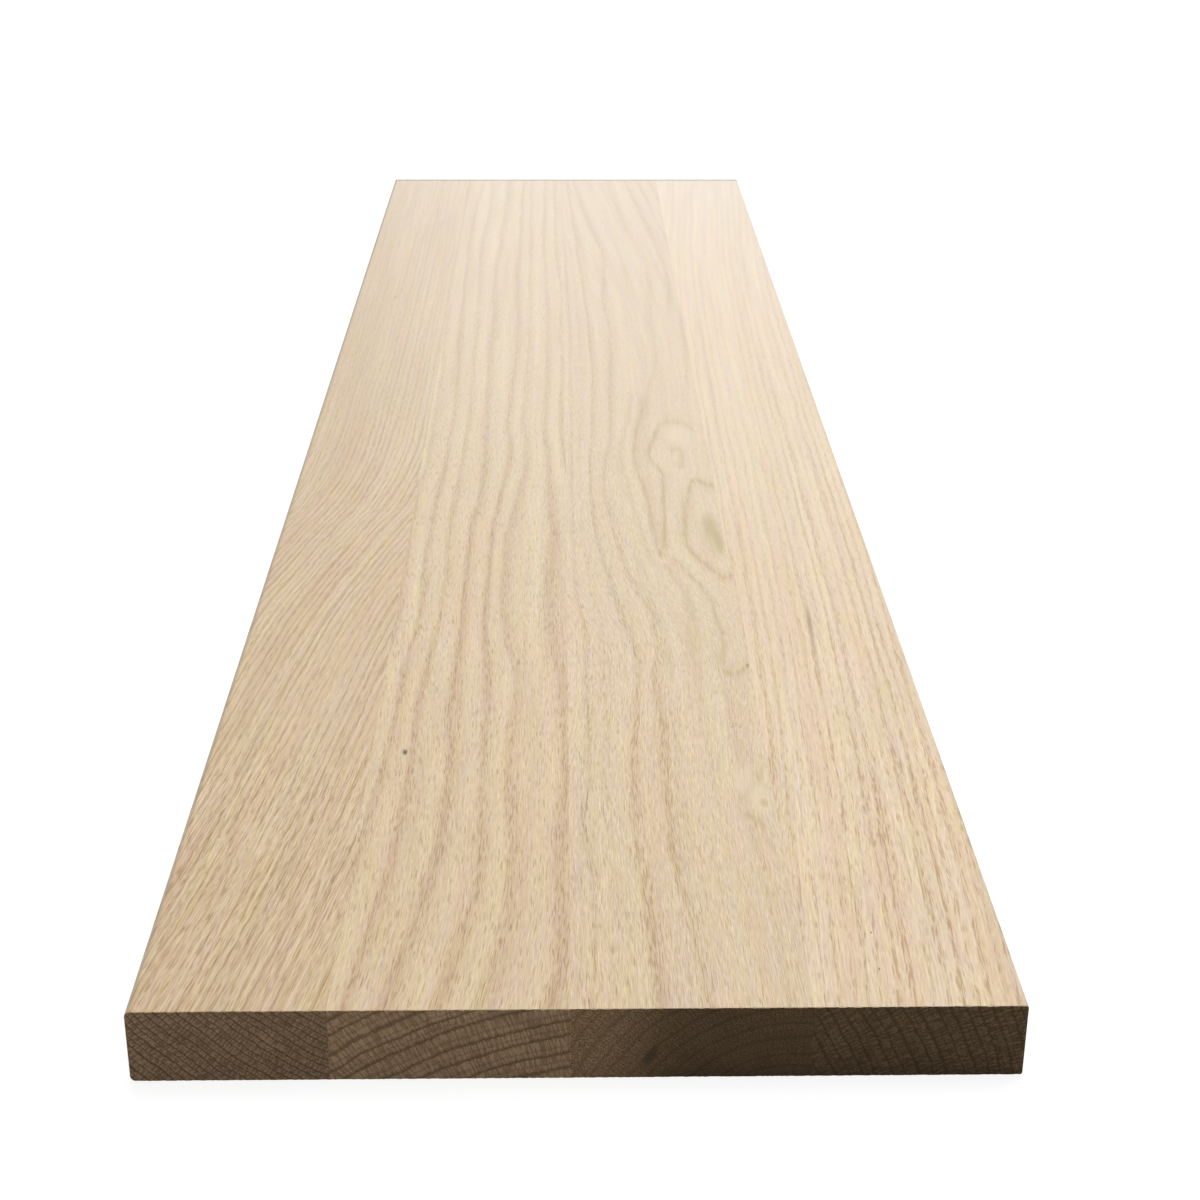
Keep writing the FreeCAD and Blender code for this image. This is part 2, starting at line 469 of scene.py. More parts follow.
end_count = calc(oak, "MULTIPLY_ADD", streaks(oak, *grain, *END_WAVER), END_WAVER_SHARE, got["Rings"])
end_phase = calc(oak, "FRACT", end_count)
rung_where = put(
    oak, "ShaderNodeCombineXYZ",
    X=calc(oak, "DIVIDE", got["Along"], RUNG_LENGTH),
    Y=calc(oak, "DIVIDE", got["Round"], RUNG_WIDTH),
    Z=calc(oak, "MULTIPLY_ADD", calc(oak, "FLOOR", end_count), RUNG_STEP, end_phase),
).outputs[0]
rung = put(
    oak, "ShaderNodeTexNoise", {"noise_dimensions": "3D"}, Vector=rung_where, Scale=1.0, Detail=1.0,
    Roughness=0.5,
).outputs["Fac"]
rung = fade(oak, rung, *RUNG_EDGE)
speck = streaks(oak, *grain, *SPECK, detail=1.0)
cut = blend(oak, calc(oak, "MULTIPLY", rung, got["Rung Strength"]), got["End Wood"], got["End Ray"])
ring_line = curve(oak, end_phase, END_RING_PROFILE)
ring_line = calc(oak, "MULTIPLY", ring_line, calc(oak, "MULTIPLY_ADD", speck, BROKEN_SHARE, WHOLE_RING))
cut = blend(oak, calc(oak, "MULTIPLY", ring_line, got["End Ring Strength"]), cut, got["End Ring"])
end_tone = calc(oak, "MULTIPLY", tone, END_TONE)
cut = shade(oak, cut, calc(oak, "MULTIPLY_ADD", speck, got["Speck Strength"], end_tone))
feed(oak, out["Color"], blend(oak, got["End Grain"], face, cut))

open_grain = calc(oak, "MULTIPLY_ADD", pore, PORE_ROUGHNESS, calc(oak, "MULTIPLY", early, EARLY_ROUGHNESS))
planed = calc(oak, "MULTIPLY_ADD", open_grain, got["Fine Contrast"], PLANED_ROUGHNESS)
sawn = calc(oak, "MULTIPLY", got["End Grain"], SAWN_ROUGHNESS)
feed(oak, out["Roughness"], calc(oak, "MAXIMUM", planed, sawn))
dents = calc(oak, "MULTIPLY_ADD", ray, RAY_DENT, calc(oak, "MULTIPLY", fleck, FLECK_RISE))
dents = calc(oak, "MULTIPLY", calc(oak, "MULTIPLY_ADD", pore, PORE_DENT, dents), got["Fine Contrast"])
end_rungs = calc(oak, "MULTIPLY", rung, got["End Grain"])
feed(oak, out["Height"], calc(oak, "MULTIPLY_ADD", end_rungs, RUNG_RISE, dents))

WOOD_IOR = 1.35
RELIEF_STRENGTH = 0.4
RELIEF_DEPTH = 0.2 * MM
END_TURN = (0.5, 0.85)
TOP_TURN = (0.05, 0.35)
UPPER_WOOD = (8.0, 20.0)
NEAR_CUT = (10.0, 4.0)
LINE_END_SHARE = 0.08
LINE_CORE, LINE_SKIRT, SKIRT_SPREAD = 0.6, 0.4, 0.14
LINE_WOBBLE, LINE_WOBBLE_DEPTH = (26.0, 5.0), 2.4
WORN_STREAK, WORN_EDGE, LEAST_WORN = (18.0, 1.2), (-0.22, 0.12), 0.35
RING_WAVER, RING_WAVER_DEPTH = (70.0, 9.0), 2.6
KNOT_LINE = (0.388, 0.238, 0.060, 1)
# A strip painted darker along the far arris of each stave's top
FAR_ARRIS_DARK = (0.150, 0.115, 0.075, 1)
FAR_ARRIS = (("Along", 1211.0, 1217.5, 0.85, FAR_ARRIS_DARK),)


def oak_material(name, figure, colours, strengths, spots=(), lines=(), end_knots=(), edge_strips=FAR_ARRIS):
    """One stave's own oak: how its grain runs, its colours, and the spots, lines and knots in it.

    The figure has the guide line that the grain follows, the pith's place beside and above it, and how far
    both step aside on the near end. Broad bands also have their rings drawn along the face, with the slope
    of the rings into the wood and their spacing past the outer ones. A spot is (along, across, reach along,
    reach across, steepness, lean, strength, colour), and an end knot has its height in place of along. A
    swirl has a number of rings after its lean, and a calm place the share of the bands that it takes away.
    A line is (way it runs, thickness, strength, points), and an edge strip, a colour painted along an
    arris, is (axis, start, full, strength, colour). All lengths are in millimetres.
    """
    material = bpy.data.materials.new(name)
    material.use_nodes = True
    tree = material.node_tree
    tree.nodes.clear()
    where = put(tree, "ShaderNodeTexCoord").outputs
    at = place(tree, measures, Position=where["Object"])
    board = (at["Along"], at["Across"], at["Up"])

    def patch(along, across, reach_along, reach_across, steepness, lean, run=at["Along"]):
        """The soft oval of one spot."""
        return place(
            tree, oval, Along=run, Across=at["Across"], Middle_Along=along, Middle_Across=across,
            Reach_Along=reach_along, Reach_Across=reach_across, Lean=lean, Steepness=steepness,
        )["Mask"]

    def drawn_line(runs, thickness, points):
        """A thin line through points on the face, with a soft skirt and soft ends."""
        run, side = (at["Along"], at["Across"]) if runs == "along" else (at["Across"], at["Along"])
        first, last = points[0][0], points[-1][0]
        soft = LINE_END_SHARE * (last - first)
        begun, ended = fade(tree, run, first, first + soft), fade(tree, run, last, last - soft)
        inside = calc(tree, "MULTIPLY", begun, ended)
        gap = calc(tree, "SUBTRACT", calc(tree, "ADD", side, wobble), curve(tree, run, points))
        gap = calc(tree, "DIVIDE", gap, thickness)
        square = calc(tree, "MULTIPLY", gap, gap)
        core = calc(tree, "EXPONENT", calc(tree, "MULTIPLY", square, -1.0))
        skirt = calc(tree, "EXPONENT", calc(tree, "MULTIPLY", square, -SKIRT_SPREAD))
        profile = calc(tree, "MULTIPLY_ADD", skirt, LINE_SKIRT, calc(tree, "MULTIPLY", core, LINE_CORE))
        return calc(tree, "MULTIPLY", profile, inside)

    def ring_lines(paths, dip, spacing):
        """The ring count on the face, one more at each path and even beyond the outer ones."""
        slant = calc(tree, "MULTIPLY", calc(tree, "SUBTRACT", TREAD_HIGH.z, at["Up"]), dip)
        waver = streaks(tree, *board, *RING_WAVER)
        side = calc(tree, "ADD", calc(tree, "MULTIPLY_ADD", waver, RING_WAVER_DEPTH, slant), at["Across"])
        places = [curve(tree, at["Along"], points) for points in paths]
        before = calc(tree, "DIVIDE", calc(tree, "SUBTRACT", side, places[0]), spacing)
        beyond = calc(tree, "DIVIDE", calc(tree, "SUBTRACT", side, places[-1]), spacing)
        total = calc(tree, "ADD", calc(tree, "MINIMUM", before, 0.0), calc(tree, "MAXIMUM", beyond, 0.0))
        for first, second in zip(places, places[1:]):
            step = put(tree, "ShaderNodeMapRange", Value=side, From_Min=first, From_Max=second)
            total = calc(tree, "ADD", total, step.outputs["Result"])
        return total

    facing = put(tree, "ShaderNodeSeparateXYZ", Vector=where["Normal"]).outputs
    end_grain = fade(tree, calc(tree, "ABSOLUTE", facing["X"]), *END_TURN)
    lying = fade(tree, facing["Z"], *TOP_TURN)
    not_end = calc(tree, "SUBTRACT", 1.0, end_grain)
    upper = calc(tree, "MULTIPLY", fade(tree, at["Up"], *UPPER_WOOD), not_end)
    near_cut = fade(tree, at["Along"], *NEAR_CUT)
    near_face = calc(tree, "MULTIPLY", near_cut, end_grain)

    shift = 0.0
    for *outline, turns in figure.get("swirls", ()):
        shift = calc(tree, "MULTIPLY_ADD", patch(*outline), turns, shift)
    guide_step, offset_step = figure.get("near_face_steps", (0.0, 0.0))
    guide = calc(tree, "MULTIPLY_ADD", near_face, guide_step, curve(tree, at["Along"], figure["guide"]))
    offset = curve(tree, at["Along"], figure["pith_offset"])
    offset = calc(tree, "MULTIPLY_ADD", near_face, offset_step, offset)
    grown = place(
        tree, rings, Along=at["Along"], Across=at["Across"], Up=at["Up"], Guide=guide, Pith_Offset=offset,
        Pith_Rise=figure["pith_rise"], Ring_Width=figure["ring_width"], Shift=shift,
    )
    count = grown["Rings"]
    if "ring_lines" in figure:
        sawn = ring_lines(figure["ring_lines"], figure["dip"], figure["spacing"])
        count = calc(tree, "MULTIPLY_ADD", calc(tree, "SUBTRACT", count, sawn), end_grain, sawn)
    presence = 1.0
    for *outline, amount in figure.get("calm", ()):
        kept = calc(tree, "MULTIPLY_ADD", patch(*outline), -amount, 1.0)
        presence = calc(tree, "MULTIPLY", presence, kept)
    wood = place(
        tree, oak, Along=at["Along"], Round=grown["Round"], Outward=grown["Outward"], Rings=count,
        End_Grain=end_grain, Contrast=curve(tree, at["Along"], figure["contrast"]),
        Fine_Contrast=curve(tree, at["Along"], figure["fine"]), Ring_Presence=presence,
        **strengths, **colours,
    )

    colour = wood["Color"]
    if lines:
        wobble = calc(tree, "MULTIPLY", streaks(tree, *board, *LINE_WOBBLE), LINE_WOBBLE_DEPTH)
        worn = fade(tree, streaks(tree, *board, *WORN_STREAK), *WORN_EDGE, LEAST_WORN, 1.0)
        drawn = 0.0
        for runs, thickness, strength, points in lines:
            mark = calc(tree, "MULTIPLY", drawn_line(runs, thickness, points), strength)
            drawn = calc(tree, "MAXIMUM", drawn, mark)
        drawn = calc(tree, "MULTIPLY", calc(tree, "MULTIPLY", drawn, worn), upper)
        colour = blend(tree, drawn, colour, KNOT_LINE)
    for *outline, strength, tint in spots:
        mark = calc(tree, "MULTIPLY", patch(*outline), upper)
        colour = blend(tree, calc(tree, "MULTIPLY", mark, strength), colour, tint)
    # Edge strips: grey painted shade on the rounded long arrises, and a strip painted darker along the far
    # arris
    for axis, start, full, strength, tint in edge_strips:
        mark = calc(tree, "MULTIPLY", fade(tree, at[axis], start, full), lying)
        colour = blend(tree, calc(tree, "MULTIPLY", mark, strength), colour, tint)
    for *outline, strength, tint in end_knots:
        mark = calc(tree, "MULTIPLY", patch(*outline, run=at["Up"]), near_cut)
        colour = blend(tree, calc(tree, "MULTIPLY", mark, strength), colour, tint)

    relief = put(
        tree, "ShaderNodeBump", Strength=RELIEF_STRENGTH, Distance=RELIEF_DEPTH, Height=wood["Height"],
    )
    surface = put(
        tree, "ShaderNodeBsdfPrincipled", Base_Color=colour, Roughness=wood["Roughness"], IOR=WOOD_IOR,
        Normal=relief.outputs["Normal"],
    )
    put(tree, "ShaderNodeOutputMaterial", Surface=surface.outputs["BSDF"])
    return material


def fit_stave(stave, node, material):
    """Gives a stave its oak and puts it in the place of its CAD node."""
    stave.data.materials.append(material)
    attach(stave, "root")
    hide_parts(node)


NOSING_OAK = {
    "Late_Wood": (0.584, 0.442, 0.264, 1), "Early_Wood": (0.479, 0.323, 0.174, 1),
    "Growth_Line": (0.340, 0.210, 0.085, 1), "Open_Pore": (0.258, 0.132, 0.030, 1),
    "Ray_Fleck": (0.290, 0.175, 0.052, 1),
    "End_Wood": (0.235, 0.147, 0.078, 1), "End_Ring": (0.095, 0.052, 0.023, 1),
    "End_Ray": (0.460, 0.310, 0.185, 1),
}
NOSING_GRAIN = {
    "Raggedness": 0.7, "Band_Strength": 0.58, "Line_Strength": 0.45, "Ring_Variety": 0.6,
    "Pore_Limit": 0.155, "Pore_Strength": 0.43, "Pore_Gathering": 0.16, "Ray_Strength": 0.44,
    "Fibre_Strength": 0.90, "Fleck_Strength": 0.50, "Fineness": 0.92,
    "End_Ring_Strength": 0.95, "Rung_Strength": 0.85, "Speck_Strength": 1.3,
}
NARROW_CONTRAST = (
    (0, 0.82), (120, 0.84), (220, 1.05), (320, 1.35), (440, 1.2), (640, 0.62), (900, 0.38), (1219.2, 0.28),
)
NOSING_FINE = (
    (0, 0.93), (120, 1.05), (200, 0.60), (320, 0.52), (430, 0.45), (640, 0.28), (900, 0.18), (1219.2, 0.15),
)
nosing_figure = {
    "guide": ((0, 0), (100, 16), (200, 29), (300, 42), (372, 57), (412, 66.5), (466, 79), (519, 85),
              (600, 87.5), (1219.2, 90)),
    "pith_offset": ((0, 140), (1219.2, 140)), "pith_rise": 110.0, "ring_width": 2.6,
    "contrast": NARROW_CONTRAST, "fine": NOSING_FINE,
}
BROWN_FLECK = (0.25, 0.17, 0.09, 1)
# Grey painted over the rounded outer arrises as painted shade
ARRIS_SHADE_GREY = (0.290, 0.235, 0.165, 1)
nosing_spots = ((848, 27, 5, 1.6, 1.0, 0.0, 0.3, BROWN_FLECK),)
nosing_stave = planed_stave("nosing_stave", "nosing_stave_oak", outer_side=-1, ease=NOSING_EASE)
# The nosing's rounded outer arris carries a strip of painted shade along its top
fit_stave(nosing_stave, "nosing_stave", oak_material(
    "nosing_stave_oak", nosing_figure, NOSING_OAK, NOSING_GRAIN, nosing_spots,
    edge_strips=FAR_ARRIS + (("Across", 3.0, 0.8, 0.42, ARRIS_SHADE_GREY),),
))


# Front middle stave: the second oak strip, flat-sawn, with broad bands and one pin
# knot, planed and edge-glued between its neighbours.

FRONT_MIDDLE_OAK = {
    "Late_Wood": (0.618, 0.482, 0.295, 1), "Early_Wood": (0.498, 0.338, 0.190, 1),
    "Growth_Line": (0.355, 0.230, 0.095, 1), "Open_Pore": (0.285, 0.146, 0.034, 1),
    "Ray_Fleck": (0.310, 0.186, 0.058, 1),
    "End_Wood": (0.345, 0.220, 0.120, 1), "End_Ring": (0.120, 0.068, 0.032, 1),
    "End_Ray": (0.600, 0.415, 0.250, 1),
}
FRONT_MIDDLE_GRAIN = {
    "Raggedness": 0.30, "Band_Strength": 0.58, "Line_Strength": 0.12, "Ring_Variety": 0.25,
    "Pore_Limit": 0.225, "Pore_Strength": 0.54, "Pore_Gathering": 0.14, "Ray_Strength": 0.55,
    "Fibre_Strength": 0.34, "Fleck_Strength": 0.66, "Fineness": 1.25,
    "End_Ring_Strength": 0.78, "Rung_Strength": 0.70, "Speck_Strength": 1.3,
}
BROAD_CONTRAST = (
    (0, 1.05), (200, 1.1), (320, 1.2), (420, 1.2), (520, 1.0), (640, 0.66), (750, 0.62), (1000, 0.70),
    (1219.2, 0.38),
)
BROAD_FINE = ((0, 1.0), (120, 0.95), (320, 0.77), (430, 0.66), (640, 0.43), (900, 0.30), (1219.2, 0.24))
front_middle_figure = {
    "guide": ((0, 116.2), (40, 119.4), (100, 121.3), (220, 120.5), (320, 118.5), (420, 117.5), (520, 120),
              (620, 120), (700, 121.3), (800, 120.5), (1000, 118), (1219.2, 118)),
    "near_face_steps": (-2.2, -13.0),
    "pith_offset": ((0, 76), (100, 88), (300, 112), (500, 115), (700, 138), (1000, 138), (1219.2, 130)),
    "pith_rise": -190.0, "ring_width": 5.9,
    "ring_lines": (
        ((0, 60), (60, 64), (100, 66.5), (160, 70), (200, 72), (260, 73), (320, 76), (380, 75), (420, 75),
         (480, 76), (520, 78), (640, 78), (750, 75), (900, 73), (1000, 72), (1219.2, 75)),
        ((0, 70), (20, 71.5), (40, 73.5), (60, 75.5), (80, 78), (120, 80), (180, 80.5), (220, 81),
         (260, 83), (290, 84), (340, 86), (420, 85), (500, 86.5), (580, 87.5), (700, 86.5), (800, 85),
         (900, 83), (1000, 81), (1100, 84), (1219.2, 83)),
        ((0, 82), (20, 85), (40, 88.5), (60, 91), (80, 92.8), (100, 95), (160, 96), (220, 94),
         (260, 94.5), (300, 95.5), (400, 95), (440, 97), (500, 99), (580, 98), (650, 96.5), (750, 95.5),
         (800, 96), (900, 93.5), (1000, 95.5), (1219.2, 97)),
        ((0, 100), (20, 103.5), (40, 106), (60, 108), (100, 111), (160, 109.7), (200, 110), (260, 108),
         (300, 106.5), (400, 106), (440, 108), (500, 111.5), (540, 113), (580, 110.5), (640, 112),
         (750, 113), (900, 110.7), (1219.2, 110)),
        ((0, 113), (20, 116.5), (40, 119), (80, 122), (120, 121), (180, 119), (240, 121), (260, 118.5),
         (300, 115), (340, 112.8), (380, 112.5), (420, 114.5), (480, 119), (540, 121), (580, 118.5),
         (640, 119), (750, 120), (900, 119), (1000, 118), (1219.2, 116)),
        ((0, 137), (20, 139), (60, 140), (80, 139), (150, 141.5), (220, 141), (260, 138.5), (340, 134.5),
         (400, 136.5), (460, 135), (520, 134), (580, 132), (650, 133), (800, 132), (900, 130),
         (1000, 128.5), (1219.2, 128)),
        ((0, 158), (200, 160), (340, 158), (460, 149), (540, 141.5), (600, 140.2), (650, 141),
         (800, 141.5), (900, 140), (1000, 137), (1219.2, 136)),
    ),
    "dip": 1.3, "spacing": 10.0, "contrast": BROAD_CONTRAST, "fine": BROAD_FINE,
}
PIN_KNOT = (0.035, 0.022, 0.014, 1)
front_middle_spots = ((177, 78.5, 2.2, 0.9, 2.0, 0.0, 0.95, PIN_KNOT),)
front_middle_stave = planed_stave("front_middle_stave", "front_middle_stave_oak")
fit_stave(front_middle_stave, "front_middle_stave", oak_material(
    "front_middle_stave_oak", front_middle_figure, FRONT_MIDDLE_OAK, FRONT_MIDDLE_GRAIN, front_middle_spots,
))


# Back middle stave: the third oak strip, cut close to the pith, so that its figure
# swirls round small knots, planed and edge-glued between its neighbours.

BACK_MIDDLE_OAK = {
    "Late_Wood": (0.610, 0.474, 0.297, 1), "Early_Wood": (0.506, 0.345, 0.192, 1),
    "Growth_Line": (0.345, 0.232, 0.090, 1), "Open_Pore": (0.285, 0.150, 0.036, 1),
    "Ray_Fleck": (0.310, 0.190, 0.060, 1),
    "End_Wood": (0.290, 0.182, 0.093, 1), "End_Ring": (0.160, 0.095, 0.045, 1),
    "End_Ray": (0.400, 0.265, 0.155, 1),
}
BACK_MIDDLE_GRAIN = {
    "Raggedness": 0.28, "Band_Strength": 0.26, "Line_Strength": 0.14, "Ring_Variety": 1.1,
    "Pore_Limit": 0.235, "Pore_Strength": 0.48, "Pore_Gathering": 0.14, "Ray_Strength": 0.40,
    "Fibre_Strength": 0.34, "Fleck_Strength": 0.80, "Fineness": 1.25,
    "End_Ring_Strength": 0.55, "Rung_Strength": 0.6, "Speck_Strength": 3.3,
}
SWIRL_CONTRAST = (
    (0, 0.92), (120, 0.92), (280, 0.85), (440, 0.80), (640, 0.95), (950, 1.05), (1219.2, 0.42),
)
back_middle_figure = {
    "guide": ((0, 172), (60, 171), (150, 169), (210, 171.5), (260, 173), (310, 169.5), (350, 164.5),
              (400, 160.5), (450, 158.5), (520, 158.5), (580, 160), (650, 161), (760, 159.5),
              (850, 155.5), (950, 149), (1050, 141.5), (1219.2, 128)),
    "pith_offset": ((0, 46), (60, 47), (150, 49), (210, 46.5), (260, 45), (310, 48.5), (350, 53.5),
                    (400, 57.5), (450, 59.5), (520, 59.5), (580, 58), (650, 57), (760, 58.5), (850, 60),
                    (1219.2, 64)),
    "pith_rise": -60.0, "ring_width": 5.5,
    "ring_lines": (
        ((0, 150), (80, 152), (120, 149), (160, 152.5), (240, 151), (280, 152), (340, 147.5), (460, 147),
         (700, 147), (900, 145), (1219.2, 138)),
        ((0, 158), (80, 159), (140, 156), (240, 159), (300, 157), (360, 153.5), (440, 151), (520, 151),
         (600, 152.5), (700, 153), (900, 150), (1219.2, 142)),
        ((0, 172.4), (40, 171), (80, 170), (120, 168), (160, 169), (220, 172), (260, 174), (280, 172.5),
         (300, 169.5), (340, 165), (400, 159), (440, 156.5), (500, 156), (560, 158), (640, 160),
         (750, 159.5), (850, 157), (1000, 152), (1219.2, 146)),
        ((0, 188), (40, 186.5), (60, 185), (80, 182), (160, 181), (200, 182), (240, 180), (280, 183),
         (300, 183), (320, 180), (360, 172.5), (400, 168.5), (440, 165), (480, 163), (520, 165.5),
         (560, 169), (640, 170), (750, 173), (850, 170), (900, 172), (950, 172), (1000, 169), (1050, 164),
         (1219.2, 151)),
        ((0, 204), (100, 202), (160, 199.5), (240, 198), (300, 195.5), (345, 192.5), (385, 184),
         (430, 180), (490, 176), (540, 174.3), (600, 181), (640, 184), (700, 183), (750, 182), (850, 185),
         (900, 186), (950, 184.5), (1000, 180.5), (1050, 175.5), (1100, 173), (1219.2, 162)),
        ((0, 214), (160, 212), (300, 204), (372, 192.2), (420, 188), (480, 185), (515, 182), (565, 185),
         (600, 188.5), (650, 194), (700, 200), (750, 203), (800, 201), (900, 204), (950, 202),
         (1000, 197), (1050, 191.5), (1100, 187.5), (1219.2, 178)),
        ((0, 226), (300, 226), (560, 222), (650, 208), (700, 209.5), (800, 212), (900, 217), (950, 215),
         (1000, 213), (1050, 209), (1100, 205), (1219.2, 196)),
    ),
    "dip": 1.1, "spacing": 10.0,
    "calm": (
        (40, 205, 90, 20, 2.0, 0.0, 0.5), (137, 214, 26, 9, 2.0, 0.0, 0.8),
        (410, 208, 175, 22, 3.0, 0.0, 0.9), (505, 188, 90, 9, 2.0, 0.0, 0.8),
        (590, 216, 60, 12, 2.0, 0.0, 0.9), (710, 210, 150, 8, 3.0, 0.0, 0.85),
    ),
    "contrast": SWIRL_CONTRAST, "fine": BROAD_FINE,
}
OLIVE_KNOT = (0.365, 0.242, 0.060, 1)
PALE_HALO = (0.690, 0.560, 0.360, 1)
DARK_CRACK = (0.200, 0.120, 0.045, 1)
END_KNOT = (0.085, 0.055, 0.028, 1)
back_middle_spots = (
    (409, 217.0, 28, 5.4, 2.0, 0.0, 0.42, OLIVE_KNOT),
    (420, 215.8, 16, 2.8, 2.0, -0.05, 0.48, OLIVE_KNOT),
    (398, 219.2, 16, 2.1, 2.0, -0.04, 0.58, OLIVE_KNOT),
    (383, 189.5, 6, 1.1, 2.0, 0.0, 0.55, OLIVE_KNOT),
    (285, 200.0, 48, 3.4, 2.0, 0.0, 0.22, OLIVE_KNOT),
    (560, 206.0, 16, 8.0, 2.0, 0.0, 0.30, PALE_HALO),
    (152, 212.0, 13, 4.5, 2.0, 0.0, 0.50, PALE_HALO),
    (137, 217.0, 14, 4.2, 2.0, 0.0, 0.55, PALE_HALO),
    (134.5, 218.2, 3.4, 1.6, 2.0, 0.0, 0.42, OLIVE_KNOT),
    (255.8, 221.9, 1.8, 0.6, 2.0, 0.0, 0.80, DARK_CRACK),
)
back_middle_lines = (
    ("along", 1.15, 0.66, ((378, 189.6), (402, 192.2), (430, 193.8), (460, 194.6), (490, 195.6),
                           (500, 194.6), (510, 192.0), (525, 189.8), (540, 191.2), (553, 193.4),
                           (563, 194.6), (571, 196.3), (580, 200.5))),
    ("across", 4.6, 0.38, ((194.5, 562), (196.3, 572), (199, 578), (203, 581.5), (207, 581.5), (211, 580),
                           (214, 575), (217.5, 566))),
    ("along", 1.3, 0.56, ((372, 190.2), (395, 188.5), (420, 187), (455, 185.6), (480, 184.5), (490, 183),
                          (500, 181.6), (515, 181), (540, 181.8), (565, 184), (590, 186.5), (640, 190))),
    ("along", 1.2, 0.26, ((345, 192.5), (365, 187.5), (385, 184), (415, 181.5), (430, 180), (455, 177.6),
                          (490, 176), (500, 174.8), (520, 174), (540, 174.3), (560, 177), (600, 181),
                          (640, 184))),
    ("along", 1.4, 0.50, ((248, 211.4), (258, 210.8), (268, 211.5), (280, 213.1), (295, 213), (305, 212),
                          (320, 211), (340, 208), (352, 203.5), (368, 199), (378, 195), (386, 190))),
    ("across", 3.0, 0.60, ((210.3, 253), (211.5, 249.5), (214, 247.3), (218, 249), (220, 252.5),
                           (222.6, 256.5))),
    ("along", 1.6, 0.66, ((352, 220.5), (357, 216), (370, 211), (383, 205.5), (390, 204), (400, 203.2),
                          (412, 203), (425, 203.8), (440, 205), (462, 207), (470, 208.5), (484, 210.8))),
    ("across", 4.0, 0.72, ((209, 476), (211.5, 483.5), (213.5, 484), (217, 480.5), (223, 475.5))),
    ("across", 4.0, 0.66, ((214.5, 360), (219, 353), (223, 356))),
    ("along", 1.6, 0.42, ((502, 206.0), (510, 206.5), (525, 207.4), (536, 207.0))),
    ("across", 4.3, 0.48, ((201.5, 532), (205, 534.5), (208.5, 531))),
    ("along", 1.2, 0.34, ((300, 202), (320, 200.3), (338, 198.5), (350, 195), (358, 193.5), (374, 190))),
    ("along", 1.2, 0.20, ((245, 189.5), (280, 189), (300, 187.6), (320, 186.3), (340, 184), (360, 181),
                          (384, 178))),
    ("across", 4.0, 0.50, ((208, 136.5), (211, 141), (214, 146.5), (217, 153), (220, 160))),
    ("across", 3.0, 0.50, ((207.5, 131.2), (210.5, 126.2), (213, 123.5), (215.5, 120), (217.5, 113))),
)
back_middle_end_knots = ((8.4, 169.7, 3.8, 2.0, 2.0, 0.45, 0.75, END_KNOT),)
back_middle_stave = planed_stave("back_middle_stave", "back_middle_stave_oak")
fit_stave(back_middle_stave, "back_middle_stave", oak_material(
    "back_middle_stave_oak", back_middle_figure, BACK_MIDDLE_OAK, BACK_MIDDLE_GRAIN, back_middle_spots,
    back_middle_lines, back_middle_end_knots,
))


# Back stave: the oak strip along the riser edge, straight-grained, planed and glued
# by its front edge. The arrises of its outer edge are only just broken.

BACK_EASE = 1.0 * MM
BACK_OAK = {
    "Late_Wood": (0.662, 0.514, 0.328, 1), "Early_Wood": (0.541, 0.368, 0.209, 1),
    "Growth_Line": (0.375, 0.244, 0.105, 1), "Open_Pore": (0.300, 0.155, 0.042, 1),
    "Ray_Fleck": (0.335, 0.204, 0.068, 1),
    "End_Wood": (0.270, 0.169, 0.084, 1), "End_Ring": (0.110, 0.063, 0.028, 1),
    "End_Ray": (0.500, 0.338, 0.200, 1),
}
BACK_GRAIN = {
    "Raggedness": 0.8, "Band_Strength": 0.37, "Line_Strength": 0.20, "Ring_Variety": 0.6,
    "Pore_Limit": 0.265, "Pore_Strength": 0.36, "Pore_Gathering": 0.27, "Ray_Strength": 0.26,
    "Fibre_Strength": 0.42, "Fleck_Strength": 0.42, "Fineness": 0.95,
    "End_Ring_Strength": 0.75, "Rung_Strength": 0.9, "Speck_Strength": 2.2,
}
BACK_FINE = (
    (0, 1.05), (120, 1.14), (200, 0.88), (320, 0.66), (430, 0.49), (640, 0.33), (900, 0.20), (1219.2, 0.16),
)
back_figure = {
    "guide": ((0, 240), (100, 245), (232, 251), (400, 254), (700, 256), (900, 260), (1119, 272),
              (1219.2, 278)),
    "pith_offset": ((0, -120), (1219.2, -120)), "pith_rise": -70.0, "ring_width": 4.1,
    "swirls": ((0, 292, 190, 40, 2.0, 0.0, -0.75),),
    "contrast": NARROW_CONTRAST, "fine": BACK_FINE,
}
MINERAL_GREY = (0.255, 0.138, 0.038, 1)
# A paler colour painted over the far end of this stave as painted sheen
FAR_END_SHEEN = (0.660, 0.555, 0.440, 1)
DARK_PORE = (0.040, 0.026, 0.018, 1)
# The first spot is painted sheen on the far end; the others are mineral streaks and dark pores
back_spots = (
    (1219, 258, 240, 60, 1.0, 0.0, 0.26, FAR_END_SHEEN),
    (303, 254.0, 15, 1.0, 1.0, 0.035, 0.60, MINERAL_GREY),
    (290, 253.5, 46, 0.9, 1.0, 0.035, 0.36, MINERAL_GREY),
    (43.8, 246.7, 0.8, 0.28, 2.0, 0.0, 0.80, DARK_PORE),
    (21.7, 246.4, 0.9, 0.28, 2.0, 0.0, 0.80, DARK_PORE),
)
back_lines = (("along", 0.5, 0.45, ((148, 273.4), (154, 272.6), (160, 274.4), (168, 273.6))),)
